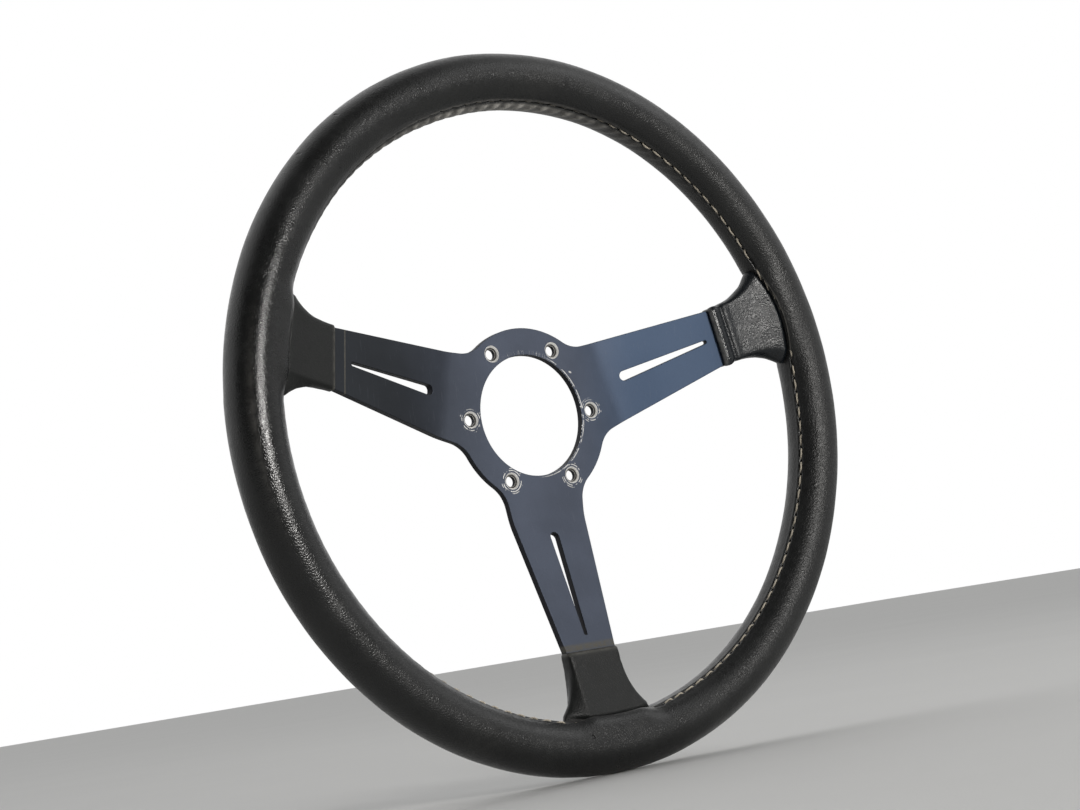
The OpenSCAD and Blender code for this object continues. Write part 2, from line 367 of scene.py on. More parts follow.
def leather_material(name, dark, worn, gloss, shine=0.45, nicks=()):
    """Smooth black hide: a fine pebbled grain, paler where hands have rubbed it and where highlights
    are painted on it.
    """
    m = Shader(name)
    wear_and_highlight = m.attribute("wear_and_highlight")
    mottle = m.noise(38.0, 5.0, 0.6)
    fine_mottle = m.noise(260.0, 4.0, 0.6)
    tone = m.blend(m.remap(mottle, 0.35, 0.68), (*dark, 1), scaled(dark, 1.5))
    tone = m.blend(m.remap(fine_mottle, 0.45, 0.8, 0.0, 0.35), tone, scaled(dark, 2.3))
    # Paler by rubbing, and by the painted highlights that the same attribute holds on the rim
    rubbed = m.times(wear_and_highlight, m.remap(fine_mottle, 0.3, 0.62, 0.35, 1.0))
    colour = m.blend(rubbed, tone, (*worn, 1))
    rough = m.remap(mottle, 0.3, 0.7, gloss - 0.03, gloss + 0.05)
    rough = m.plus(rough, m.remap(fine_mottle, 0.3, 0.75, -0.05, 0.06))
    rough = m.minus(rough, m.times(m.attribute("polish"), 0.155))
    rough = m.plus(rough, m.times(m.attribute("coarse"), 0.07))
    m.set(Roughness=rough, Specular_IOR_Level=shine)
    pebbles = m.remap(m.cells(820.0), 0.0, 0.30)
    flattened = m.times(m.attribute("polish"), -0.35)
    pebbles = m.times(pebbles, m.plus(flattened, 1.0))
    creases = m.remap(m.cells(240.0), 0.0, 0.06)
    pores = m.noise(1500.0, 3.0, 0.55)
    coarse = m.times(m.noise(700.0, 3.0, 0.6), m.attribute("coarse"))
    normal = m.bump(pebbles, 0.00005)
    normal = m.bump(creases, 0.000009, normal)
    normal = m.bump(pores, 0.00005, normal)
    normal = m.bump(coarse, 0.00028, normal)
    if nicks:
        cut = nick_mask(m, nicks)
        colour = m.blend(cut, colour, NICK_COLOUR)
        normal = m.bump(cut, -NICK_DEPTH, normal)
    m.set(Base_Color=colour, Normal=normal)
    return m.material


def thread_material(name, clean, dirty):
    """Waxed sewing thread, grimy in the hollows between its plies and along some stretches."""
    m = Shader(name)
    grime = m.remap(m.noise(30.0, 3.0), 0.35, 0.7, 0.0, 0.5)
    grime = m.larger(grime, m.attribute("grime"))
    fibres = m.noise(4200.0, 3.0, 0.6, m.stretched((1.0, 0.35, 1.0)))
    colour = m.blend(m.times(grime, 0.85), (*clean, 1), (*dirty, 1))
    colour = m.blend(m.remap(fibres, 0.3, 0.7, 0.0, 0.35), colour, scaled(clean, 0.45))
    m.set(Base_Color=colour, Roughness=m.remap(fibres, 0.2, 0.8, 0.55, 0.8))
    m.set(Normal=m.bump(fibres, 0.00008))
    m.set(Sheen_Weight=0.2)
    return m.material


def hub_scuffs(m, x, y, z):
    """1 where the hub's front is scuffed: round the lower bolt holes and beside the centre hole."""
    r, turn, from_bolt = m.hub_distances()
    broken = m.noise(300.0, 3.0, 0.6)
    ring = m.times(m.band(from_bolt, 0.0053, 0.00034), m.remap(broken, 0.46, 0.53))
    outer_ring = m.times(m.band(from_bolt, 0.0063, 0.00024), m.remap(broken, 0.54, 0.60))
    lower_half = m.remap(z, 0.012, -0.004)
    bore_line = m.times(m.band(r, BORE_R + 0.0009, 0.00034), m.remap(broken, 0.42, 0.52))
    off_axis = m.remap(m.minus(x, z), -0.018, -0.004)
    right_half = m.times(m.remap(x, -0.004, 0.012), off_axis)
    spaced = m.remap(m.noise(14.0, 1.0, 0.5, m.around(turn, 12.0)), 0.58, 0.64)
    ticks = m.times(m.band(r, BORE_R + 0.0012, 0.0016), spaced)
    ticks = m.times(ticks, m.remap(z, 0.027, 0.030))
    chip = m.mark(HUB_CHIP, (0.9, 0.0, -0.44), 0.0022, 0.0006)
    scuffs = m.times(m.larger(ring, outer_ring), lower_half)
    for more in (ticks, m.times(bore_line, right_half), chip):
        scuffs = m.larger(scuffs, more)
    front = m.remap(y, -PLATE_T + 0.0005, -PLATE_T + 0.0002)
    return m.times(scuffs, front)


def glue_marks(m, x, y, z):
    """1 on the glue marks: a band above the bottom boot and a thin line beside the left one."""
    left = BOOTS["left"]
    c, s, slant = cos(left["angle"]), sin(left["angle"]), left["slant"]
    along = m.plus(m.times(x, c + slant * s), m.times(z, s - slant * c))
    left_line = m.band(along, left["start"] - 0.0062, 0.0006)
    bottom_band = m.band(z, -BOOTS["bottom"]["start"] + 0.0018, 0.0024)
    return m.times(m.larger(left_line, bottom_band), m.remap(y, -0.006, -0.010))


def plate_material():
    """Dark blue anodising, with rubbed edges, hairline scratches and glue marks beside two boots,
    painted shade on the left spoke and the side walls, and a painted blue reflection on the right
    spoke.
    """
    m = Shader("anodised_plate")
    x, y, z = m.node("ShaderNodeSeparateXYZ", Vector=m.place).outputs
    glued = glue_marks(m, x, y, z)
    cloud = m.noise(22.0, 4.0, 0.55)
    speck = m.noise(1500.0, 3.0, 0.6)
    # Painted light on the anodising: its colour is painted greyest and darkest on the left spoke as
    # shade, and bluest on the right one as a blue reflection
    film_with_painted_light = m.blend(m.remap(x, -0.09, -0.01), (0.026, 0.029, 0.034, 1), (0.066, 0.077, 0.104, 1))
    film_with_painted_light = m.blend(m.remap(x, 0.02, 0.07), film_with_painted_light, (0.045, 0.066, 0.106, 1))
    pale = m.node("ShaderNodeHueSaturation", Color=film_with_painted_light, Value=1.3).outputs[0]
    colour = m.blend(m.remap(cloud, 0.35, 0.65), film_with_painted_light, pale)
    colour = m.blend(m.remap(speck, 0.5, 0.8, 0.0, 0.25), colour, (0.030, 0.034, 0.046, 1))
    hair = m.remap(m.noise(90.0, 2.0, 0.5, m.stretched((16.0, 1.0, 1.3))), 0.655, 0.70, 0.0, 0.10)
    colour = m.blend(hair, colour, (0.16, 0.17, 0.20, 1))
    chips = m.times(m.attribute("wear_and_highlight"), m.remap(m.noise(900.0, 4.0, 0.65), 0.45, 0.6))
    rubbed = m.larger(hub_scuffs(m, x, y, z), chips)
    colour = m.blend(rubbed, colour, (0.70, 0.69, 0.66, 1))
    # Painted shade: the plate's side walls are painted near black
    colour = m.blend(m.attribute("edge"), colour, (0.012, 0.013, 0.017, 1))
    glue = m.times(glued, m.remap(m.noise(700.0, 3.0), 0.3, 0.65, 0.45, 1.0))
    colour = m.blend(glue, colour, (0.085, 0.080, 0.066, 1))
    m.set(Base_Color=colour, Metallic=m.minus(0.82, m.times(glued, 0.7)))
    rough = m.remap(cloud, 0.3, 0.7, 0.50, 0.60)
    rough = m.minus(rough, m.times(rubbed, 0.2))
    rough = m.plus(rough, m.times(glued, 0.22))
    m.set(Roughness=rough, Specular_IOR_Level=0.5)
    grain = m.bump(speck, 0.00002)
    m.set(Normal=m.bump(rubbed, 0.00003, grain))
    return m.material


def steel_material(name, colour):
    """Plain steel inside the grip: fine tool lines, oil-darkened patches."""
    m = Shader(name)
    patches = m.noise(60.0, 4.0)
    lines = m.noise(480.0, 2.0, 0.5, m.stretched((1.0, 9.0, 1.0)))
    m.set(Base_Color=m.blend(m.remap(patches, 0.4, 0.7), (*colour, 1), scaled(colour, 0.55)))
    m.set(Metallic=1.0, Roughness=m.remap(lines, 0.3, 0.7, 0.28, 0.5))
    m.set(Normal=m.bump(lines, 0.00004))
    return m.material


def bare_metal_material():
    """Countersinks worn bright by screw heads, with the lower cone, where the heads don't reach,
    darkened by patchy grime and a painted ring of shade.
    """
    m = Shader("bare_countersink")
    _, _, from_bolt = m.hub_distances()
    rings = m.noise(2600.0, 3.0, 0.6)
    grime = m.remap(m.noise(420.0, 4.0), 0.42, 0.62, 0.0, 0.5)
    # Painted shade: a dark ring down in the cone, 3.1 mm from the hole's centre
    grime = m.larger(grime, m.band(from_bolt, 0.0031, 0.0005))
    grime = m.times(grime, m.remap(from_bolt, 0.0038, 0.0034))
    m.set(Base_Color=m.blend(grime, (0.95, 0.94, 0.91, 1), (0.07, 0.065, 0.06, 1)))
    m.set(Metallic=0.45, Roughness=m.remap(rings, 0.3, 0.7, 0.30, 0.50))
    m.set(Normal=m.bump(rings, 0.00004))
    return m.material


def foam_material():
    """Moulded polyurethane: a skin full of tiny pits."""
    m = Shader("moulded_foam")
    pits = m.cells(1400.0, "F1")
    cloud = m.noise(45.0, 4.0)
    black, grey = (0.020, 0.020, 0.021, 1), (0.040, 0.039, 0.037, 1)
    m.set(Base_Color=m.blend(m.remap(cloud, 0.3, 0.7), black, grey))
    m.set(Roughness=m.remap(pits, 0.0, 0.6, 0.7, 0.9), Normal=m.bump(pits, 0.00015))
    return m.material


def floor_material():
    """Pale studio floor with a faint, soft mottle."""
    m = Shader("pale_floor")
    cloud = m.noise(3.0, 5.0, 0.6)
    tooth = m.noise(900.0, 3.0)
    m.set(Base_Color=m.blend(cloud, (0.60, 0.60, 0.59, 1), (0.66, 0.66, 0.65, 1)))
    m.set(Roughness=m.remap(cloud, 0.3, 0.7, 0.85, 0.95), Specular_IOR_Level=0.2)
    m.set(Normal=m.bump(tooth, 0.0001))
    return m.material


# ---- rim leather


def beside_boots(phi, inner, outer):
    """1 beside a spoke, within the inner angle, easing to 0 at the outer one."""
    nearest = np.min([np.abs(angle_from(phi, b["angle"])) for b in BOOTS.values()], axis=0)
    return 1 - ease(nearest, inner, outer)


def seam_angle(phi):
    """The seam runs at a steady angle, and climbs a little to meet each boot's own seam."""
    climb = np.mean([b["junction"] for b in BOOTS.values()]) - SEAM
    return SEAM + climb * beside_boots(phi, radians(9), radians(15))


def junction_angle(boot, turn):
    """Where a boot's leather ends on the front of the grip, at a turn from the spoke."""
    return boot["junction"] + boot["bow"] * np.clip(1 - (turn / radians(9)) ** 2, 0, 1)


def seam_place(phi, psi):
    """Distance across the seam, along it from the nearest stitch hole, and along a slanted pleat."""
    across = angle_from(psi, seam_angle(phi)) * GRIP_R
    along = (phi / STITCH_TURN % 1 - 0.5) * STITCH_PITCH
    slanted = (along + across + STITCH_PITCH / 2) % STITCH_PITCH - STITCH_PITCH / 2
    return across, along, slanted


def rim_relief(phi, psi):
    """How far the leather stands proud of the grip's nominal circle.

    Each feature is its height, shaped by how far away the point is.
    """
    across, along, slanted = seam_place(phi, psi)
    open_seam = 1 - beside_boots(phi, radians(8.5), radians(9.5))
    top = bell(angle_from(phi, PLEATED_AT), radians(33))
    groove = -0.00105 * bell(across, 0.00050)
    lips = 0.00022 * (bell(across - 0.0014, 0.0009) + bell(across + 0.0014, 0.0009))
    holes = -(0.0005 + 0.0007 * top) * bell(across - 0.0004, 0.0009) * bell(along, 0.0010)
    loose = 0.0019 * top * ease(-across, 0.0003, 0.0030) * (1 - ease(-across, 0.010, 0.022))
    # Behind the seam each stitch draws the leather into a slanted pleat
    reach = ease(-across, 0.0004, 0.0014) * (1 - ease(-across, 0.0040, 0.0085))
    pleats = (0.00003 + 0.00062 * top) * reach * (bell(slanted, 0.0012) - 0.35)
    relief = open_seam * (groove + lips + holes + pleats + loose)
    nominal = grip_point(phi, psi)
    relief = relief + 0.00010 * ripple(nominal, 0.055, 11) + 0.00004 * ripple(nominal, 0.014, 12)
    for boot in BOOTS.values():
        turn = angle_from(phi, boot["angle"])
        beside = 1 - ease(np.abs(turn), radians(5.0), radians(10.5))
        past = angle_from(psi, junction_angle(boot, turn))
        swell = ease(past, radians(-0.5), radians(1.2))
        swell = swell * (1 - ease(past, radians(3), radians(48)))
        under = 1 - ease(past, radians(-1.6), radians(-0.3))
        under = under * ease(psi, BOOT_BACK - 0.2, BOOT_BACK + 0.2)
        relief = relief + beside * (boot["lip"] * swell - 0.0014 * under)
    return relief


def pleat_highlights(phi, psi):
    """Painted highlights on the pleats behind the top of the seam, pale along their crests, and on the
    lip in front of it.
    """
    across, _, slanted = seam_place(phi, psi)
    top = bell(angle_from(phi, PLEATED_AT), radians(30))
    drawn = ease(-across, 0.0006, 0.0014) * (1 - ease(-across, 0.005, 0.0095))
    return top * (drawn * (0.3 + 0.7 * bell(slanted, 0.0017)) + 0.26 * bell(across - 0.0016, 0.0007))


def rim_rows():
    """Angles round the grip, close together at the seam and wide apart elsewhere."""
    turns = np.concatenate([
        np.arange(-14, 14, 2.0),
        np.arange(14, 42, 1.0),
        np.linspace(42, 346, 40)[:-1],
    ])
    return np.radians(turns)


def make_rim_leather(material):
    columns = STITCHES * 9
    phi = np.arange(columns) * 2 * pi / columns
    phi, psi = np.meshgrid(phi, rim_rows(), indexing="ij")
    relief = rim_relief(phi, psi)
    points = grip_point(phi, psi, relief)
    quads = grid_quads(*phi.shape, True)
    rim = mesh_object("rim_leather_skin", points, quads[:, ::-1], [material])
    # Paleness of the rim: random rubbing here, with rubbing beside the boots and painted highlights
    # added below
    wear_and_highlight = 0.02 * ease(ripple(points, 0.05, 21), 0.6, 1.8)
    for boot in BOOTS.values():
        turn = angle_from(phi, boot["angle"])
        past = angle_from(psi, junction_angle(boot, turn))
        edge = bell(past - radians(1.6), radians(1.6))
        edge = edge * (1 - ease(np.abs(turn), radians(8.5), radians(11)))
        wear_and_highlight = np.maximum(wear_and_highlight, edge * (0.14 + 0.26 * boot["hem"]))
    # Painted highlights on the pleats and the lip at the top of the seam
    wear_and_highlight = np.maximum(wear_and_highlight, pleat_highlights(phi, psi))
    # Hands have rubbed the left side smooth. The brown streak along it is worn leather and also a
    # painted warm reflection beside the lamp's highlight
    left_side = angle_from(phi, POLISHED_AT)
    streak = bell(left_side, radians(13))
    streak = streak * bell(angle_from(psi, radians(121)), radians(7))
    wear_and_highlight = np.maximum(wear_and_highlight, 0.11 * streak)
    paint(rim, "wear_and_highlight", wear_and_highlight)
    held = bell(left_side, radians(32))
    held = held * bell(angle_from(psi, radians(105)), radians(45))
    paint(rim, "polish", held)
    paint(rim, "coarse", bell(angle_from(phi, radians(-5)), radians(50)))
    place(rim, "rim_leather", "rim_leather")


# ---- boots


def front_depth(along):
    """Depth of the rising spoke's front face."""
    return PLATE_T + (along - BEND_AT) * tan(RISE)


def rounded_loop(half_w, low, high, radius, wide=22, tall=9, corner=6):
    """Closed rounded rectangle from its right side's foot, and the outward normal at each point."""
    corners = [
        (half_w - radius, high - radius, 0),
        (-half_w + radius, high - radius, 90),
        (-half_w + radius, low + radius, 180),
        (half_w - radius, low + radius, 270),
    ]
    points, normals = [], []
    for index, (x, y, turn) in enumerate(corners):
        for step in range(corner + 1):
            a = radians(turn + 90 * step / corner)
            points.append((x + radius * cos(a), y + radius * sin(a)))
            normals.append((cos(a), sin(a)))
        next_x, next_y, next_turn = corners[(index + 1) % 4]
        a = radians(next_turn)
        target = (next_x + radius * cos(a), next_y + radius * sin(a))
        start = points[-1]
        count = wide if index % 2 == 0 else tall
        for step in range(1, count):
            share = step / count
            points.append(tuple(p + (t - p) * share for p, t in zip(start, target)))
            normals.append((cos(a), sin(a)))
    return np.array(points), np.array(normals)


def open_end(boot, inset):
    """Loop round a boot's open end: along and across the spoke, depth, slope and normals."""
    low = front_depth(boot["start"]) - PLATE_T / cos(RISE) - LEATHER_T + inset
    high = front_depth(boot["start"]) + LEATHER_T - inset
    loop, normals = rounded_loop(BOOT_HALF_W - inset, low, high, 0.0021 - inset / 2)
    across, depth = loop.T
    along = boot["start"] + boot["slant"] * across
    slope = (depth - low) / (high - low) * tan(RISE)
    depth = depth + boot["slant"] * across * slope
    return along, across, depth, slope, normals


def rim_end(boot, inset, normals):
    """Loop where a boot meets the rim: along and across the spoke, and depth."""
    # It is widest beside the inner equator and narrower at the back, and a creased side is only
    # as wide as the plate at the front
    turn_r = RIM_R - GRIP_R
    back, junction = BOOT_BACK * GRIP_R, boot["junction"] * GRIP_R
    loop, _ = rounded_loop(BOOT_TURN * turn_r, back, junction, 0.0050)
    psi = loop[:, 1] / GRIP_R
    crease = np.where(loop[:, 0] < 0, *boot["crease"])
    waist = 1 - crease * ease(psi, 0.0, boot["junction"]) - 0.27 * ease(-psi, 0.1, -BOOT_BACK)
    turn = loop[:, 0] / turn_r * waist
    front = ease(normals[:, 1], 0.2, 0.9)
    psi = psi + front * (junction_angle(boot, turn) - boot["junction"])
    reach = GRIP_R - 0.0006 - inset
    r = RIM_R - reach * np.cos(psi)
    return r * np.cos(turn), r * np.sin(turn), RIM_DEPTH + reach * np.sin(psi)


def boot_surface(boot, inset, rows=64):
    """Grid of points over a boot, from its open end to the rim, and the distance from its end."""
    along, across, depth, slope, normals = open_end(boot, inset)
    end_along, end_across, end_depth = rim_end(boot, inset, normals)
    u = np.linspace(0, 1, rows)[:, None]
    flare = np.where(np.abs(end_across) > np.abs(across), u ** 3.2, u)
    path_along = along + (end_along - along) * u
    path_across = across + (end_across - across) * flare
    ramp = depth + slope * (path_along - along)
    path_depth = ramp + (end_depth - ramp[-1]) * u ** 4
    path = spoke_point(boot["angle"], path_along, path_across, path_depth)
    travelled = np.linalg.norm(np.diff(path, axis=0), axis=-1).cumsum(0)
    travelled = np.concatenate([np.zeros((1, path.shape[1])), travelled])
    return path, travelled, normals


def rim_tuck(boot, travelled, normals):
    """At the rim a boot's front dives into the slit under the rim's own leather."""
    depth, length = boot["tuck"]
    to_rim = travelled[-1] - travelled
    return -depth * (1 - ease(to_rim, 0.0, length)) * ease(normals[:, 1], -0.3, 0.3)


def outward_normals(path):
    """Unit normals of a boot's grid of points, which point away from its middle."""
    round_boot = np.roll(path, -1, 1) - np.roll(path, 1, 1)
    outward = np.cross(np.gradient(path, axis=0), round_boot)
    outward = outward / np.maximum(np.linalg.norm(outward, axis=-1, keepdims=True), 1e-12)
    centre = path.mean(axis=1, keepdims=True)
    if np.mean(np.sum(outward[5] * (path[5] - centre[5]), -1)) < 0:
        outward = -outward
    return outward


def boot_relief(boot, path, travelled, normals):
    """Folds, hem and wrinkles of a boot's leather, along its surface normal."""
    hem = boot["hem"]
    ridges = 0.00075 * bell(travelled - 0.0036, 0.0026) - 0.00075 * bell(travelled - 0.0076, 0.0010)
    ridges = ridges + 0.00040 * bell(travelled - 0.0102, 0.0018)
    relief = hem * ridges * (0.35 + 0.65 * ease(normals[:, 1], -0.2, 0.8))
    relief = relief + boot["lift"] * ease(normals[:, 1], 0.2, 0.9) * (1 - ease(travelled, 0.001, 0.011))
    end_edge = -0.0007 * (1 - ease(travelled, 0.0, 0.0011))
    folds = ripple(path, 0.011, boot["seed"])
    fine = ripple(path, 0.0045, boot["seed"] + 20)
    side = np.abs(normals[:, 0])
    near_rim = ease(travelled, 0.016, 0.034)
    crinkle = (0.00014 + 0.00030 * side * near_rim) * folds + 0.00004 * fine * (0.4 + side)
    quiet = 1 - 0.75 * ease(normals[:, 1], 0.6, 1.0) * (1 - near_rim * 0.5)
    tuck = rim_tuck(boot, travelled, normals)
    return relief + end_edge + tuck + crinkle * quiet * ease(travelled, 0.0, 0.004)


def make_boot(name, boot, material):
    path, travelled, normals = boot_surface(boot, 0.0)
    outward = outward_normals(path)
    relief = boot_relief(boot, path, travelled, normals)
    outer = path + outward * relief[..., None]
    # The cut end shows the leather's thickness, and the flesh side runs back inside
    axis = unit(spoke_point(boot["angle"], 1.0, 0.0, tan(RISE)))
    inward = -outward[0]
    folded_in = [
        outer[0] + inward * 0.0009 - axis * 0.0001,
        outer[0] + inward * 0.0010 + axis * 0.0004,
        outer[0] + inward * 0.0010 + axis * 0.0045,
    ]
    points = np.concatenate([np.array(folded_in[::-1]), outer])
    quads = grid_quads(*points.shape[:2], False)
    thing = mesh_object(name + "_boot_leather", points, quads, [material])
    from_end = np.concatenate([np.full((3, points.shape[1]), -1.0), travelled])
    hem = bell(from_end - 0.0008, 0.0010)
    rub = ripple(points, 0.02, boot["seed"] + 40) + 0.4 * ripple(points, 0.005, boot["seed"] + 41)
    rub = ease(rub, 0.9, 1.7)
    paint(thing, "wear_and_highlight", np.maximum(0.55 * hem, 0.04 * rub * (1 - boot["hem"])))
    paint(thing, "polish", boot["hem"] * bell(from_end - 0.0036, 0.0026))
    height = points[..., 2] - points[..., 2].mean()
    paint(thing, "coarse", 0.5 * boot["hem"] * ease(height, -0.004, 0.012))
    place(thing, "boot_leather", name + "_boot")


# ---- foam


def make_foam(material):
    """The moulded ring and its three roots, just inside their leather."""
    phi = np.arange(360) * 2 * pi / 360
    psi = np.arange(48) * 2 * pi / 48
    phi, psi = np.meshgrid(phi, psi, indexing="ij")
    pitted = 0.00006 * ripple(grip_point(phi, psi), 0.02, 31)
    ring = grip_point(phi, psi, -LEATHER_T - 0.0012 + pitted)
    vertices, faces = [ring.reshape(-1, 3)], [grid_quads(*phi.shape, True)[:, ::-1]]
    for boot in BOOTS.values():
        path, travelled, normals = boot_surface(boot, LEATHER_T, 24)
        tuck = rim_tuck(boot, travelled, normals)
        root = (path + outward_normals(path) * tuck[..., None])[3:]
        first = sum(len(v) for v in vertices)
        rows, count = root.shape[:2]
        vertices.append(root.reshape(-1, 3))
        faces.append(grid_quads(rows, count, False, first))
    foam = mesh_object("foam_filling", np.concatenate(vertices), np.concatenate(faces), [material])
    place(foam, "foam", "foam_core")


# ---- stitches


def rope(path, radius, sides=10, plies=3, lay=0.0030):
    """Vertices and faces of a twisted thread along a path, pinched to a point at both ends."""
    tangent = unit(np.gradient(path, axis=0))
    up = unit(np.cross(tangent, tangent[len(path) // 2] + np.array([0.3, 0.1, 0.2])))
    over = np.cross(tangent, up)
    length = np.concatenate([[0], np.linalg.norm(np.diff(path, axis=0), axis=1).cumsum()])
    turn = np.arange(sides) * 2 * pi / sides
    twist = length * 2 * pi / lay
    bulge = 1 + 0.16 * np.cos(plies * turn[None] - twist[:, None] * plies / 2)
    thin = np.minimum(1, 0.55 + length / radius * 0.3)
    thin = np.minimum(thin, thin[::-1])
    r = radius * bulge * thin[:, None]
    ring = (up[:, None] * np.cos(turn)[None, :, None] + over[:, None] * np.sin(turn)[None, :, None])
    points = path[:, None] + ring * r[..., None]
    faces = grid_quads(len(path), sides, False).tolist()
    faces.append(list(range(sides)))
    faces.append(list(range((len(path) - 1) * sides, len(path) * sides))[::-1])
    return points.reshape(-1, 3), faces


def smooth_path(points, count):
    """Evenly spaced points on a curve through the given points."""
    points = np.array(points, float)
    padded = np.vstack([2 * points[0] - points[1], points, 2 * points[-1] - points[-2]])
    t = np.linspace(0, len(points) - 1, count)
    i = np.minimum(t.astype(int), len(points) - 2)
    f = (t - i)[:, None]
    a, b, c, d = (padded[i + k] for k in range(4))
    curve = (c - a) * f + (2 * a - 5 * b + 4 * c - d) * f ** 2 + (3 * b - a - 3 * c + d) * f ** 3
    return b + 0.5 * curve


def thread_object(name, paths, radius, material, grime, slot, node):
    vertices, faces, dirt = [], [], []
    first = 0
    for path, grimy in zip(paths, grime):
        points, quads = rope(path, radius)
        vertices.append(points)
        faces += [[i + first for i in face] for face in quads]
        dirt.append(np.full(len(points), grimy))
        first += len(points)
    thing = mesh_object(name, np.concatenate(vertices), faces, [material])
    paint(thing, "grime", np.concatenate(dirt))
    place(thing, slot, node)


def seam_stitch(phi, seam, sink, wobble):
    """One stitch: it leaves a hole, lies along the seam and slips back in on the far side."""
    route = [
        (0.0002, 0.0002, -0.0012),
        (-0.0006, 0.0002, -0.0003),
        (-0.0019, 0.00035 + wobble, 0.00035),
        (-0.0036, 0.0003 + wobble, 0.00025),
        (-0.0050, -0.0001, -0.0005),
        (-0.0058, -0.0005, -0.0010),
        (-0.0063, -0.0006, -0.0015),
    ]
    points = [
        grip_point(phi + along / SEAM_R, seam + across / GRIP_R, height - sink)
        for along, across, height in route
    ]
    return smooth_path(points, 18)


def make_seam_threads(material):
    arcs = {
        "upper": ("right", "left"),
        "lower_left": ("left", "bottom"),
        "lower_right": ("bottom", "right"),
    }
    rng = np.random.default_rng(8)
    for name, (first, last) in arcs.items():
        start = BOOTS[first]["angle"] + SEAM_STOP
        span = (BOOTS[last]["angle"] - BOOTS[first]["angle"]) % (2 * pi) - 2 * SEAM_STOP
        paths, grime = [], []
        for k in range(STITCHES):
            phi = (k + 0.5) * STITCH_TURN
            if (phi - start) % (2 * pi) > span or (phi - start) % (2 * pi) < STITCH_TURN:
                continue
            turn = degrees(phi)
            buried = float(ease(turn, 60, 74) * (1 - ease(turn, 215, 245)))
            wobble = rng.normal() * 0.00012
            seam = float(seam_angle(np.array(phi)))
            paths.append(seam_stitch(phi, seam, 0.00100 * buried, wobble))
            grime.append(min(1.0, buried + rng.uniform(0, 0.3)))
        thread_object(
            name + "_seam_stitches", paths, THREAD_R, material, grime,
            "thread", name + "_seam_thread")


def make_front_thread(name, boot, material, rng):
    """Stitches that join a boot to the rim's leather, sunk out of sight in the middle."""
    count = 8
    paths, grime = [], []
    for k in range(count):
        turn = 2 * SEAM_STOP * (k + 0.5) / count - SEAM_STOP + radians(1.0)
        psi = float(junction_angle(boot, turn)) - radians(0.5)
        hidden = 0.0012 * (1 - float(ease(abs(turn), radians(4.0), radians(7.0))))
        wobble = rng.normal() * 0.0001
        paths.append(seam_stitch(boot["angle"] + turn, psi, 0.0001 + hidden, wobble))
        grime.append(rng.uniform(0.1, 0.5))
    thread_object(
        name + "_boot_front_stitches", paths, THREAD_R, material, grime,
        "thread", name + "_boot_front_thread")


def make_back_thread(name, boot, material):
    """Slanted stitches that close a boot down its back."""
    depth = front_depth(boot["start"]) - PLATE_T / cos(RISE) - LEATHER_T
    pitch, first = 0.0042, boot["start"] + 0.004
    route = [
        (0.0, -0.0013, 0.0007), (0.0, -0.0012, -0.0002), (0.0007, 0.0, -0.0005),
        (0.0014, 0.0012, -0.0002), (0.0014, 0.0013, 0.0007)]
    paths = []
    for k in range(int((RIM_R - GRIP_R - first) / pitch)):
        along = first + k * pitch
        points = [spoke_point(boot["angle"], along + a, w, depth + d) for a, w, d in route]
        paths.append(smooth_path(points, 12))
    thread_object(
        name + "_boot_back_stitches", paths, BACK_THREAD_R, material, [0.5] * len(paths),
        "dark_thread", name + "_boot_back_thread")


def make_boot_threads(pale, dark):
    rng = np.random.default_rng(9)
    for name, boot in BOOTS.items():
        make_front_thread(name, boot, pale, rng)
        make_back_thread(name, boot, dark)


# ---- spoke plate


def flat_along(along):
    """Distance along the unbent blank, for a distance in the finished plate's plan."""
    after = BEND_FROM + BEND_R * sin(RISE)
    return BEND_FROM + BEND_ARC + (along - after) / cos(RISE)


def bend_spoke(along, height):
    """Bends the blank: distance along it and height in it become distance and depth."""
    start = BEND_FROM
    turn = np.clip((along - start) / BEND_R, 0, RISE)
    past = np.maximum(along - start - BEND_ARC, 0)
    tongue = flat_along(TONGUE_BEND_AT)
    level = np.maximum(along - tongue, 0)
    rising = past - level
    r = BEND_R + PLATE_T - height
    out = start + r * np.sin(turn) + rising * cos(RISE)
    depth = PLATE_T + BEND_R - r * np.cos(turn) + rising * sin(RISE)
    tilted = np.where(level > 0, (PLATE_T - height) * sin(RISE), 0)
    out = np.where(along > start, out - tilted + level, along)
    settled = np.where(level > 0, (PLATE_T - height) * (1 - cos(RISE)), 0)
    depth = np.where(along > start, depth - settled, height)
    return out, depth


def turned(points, angle):
    c, s = cos(angle), sin(angle)
    return np.stack([points[:, 0] * c - points[:, 1] * s, points[:, 0] * s + points[:, 1] * c], -1)


def arc_points(centre, radius, start, end, steps):
    a = np.linspace(start, end, steps + 1)
    return np.stack([centre[0] + radius * np.cos(a), centre[1] + radius * np.sin(a)], -1)


def spoke_edge():
    """Upper edge of a spoke lying along X, from the tongue to the hub disc."""
    off = SPOKE_HALF_W * cos(SPOKE_TAPER) + HUB_FILLET_R
    out = sqrt((HUB_R + HUB_FILLET_R) ** 2 - off ** 2)
    centre = (
        sin(SPOKE_TAPER) * off + cos(SPOKE_TAPER) * out,
        cos(SPOKE_TAPER) * off - sin(SPOKE_TAPER) * out,
    )
    hollow_end = pi + atan2(centre[1], centre[0])
    hollow = arc_points(centre, HUB_FILLET_R, 1.5 * pi - SPOKE_TAPER, hollow_end, 20)
    plan = np.linspace(TONGUE_END, BEND_FROM + 0.0001, 70)
    straight = np.stack([flat_along(plan), SPOKE_HALF_W - plan * tan(SPOKE_TAPER)], -1)
    return np.concatenate([straight, hollow])


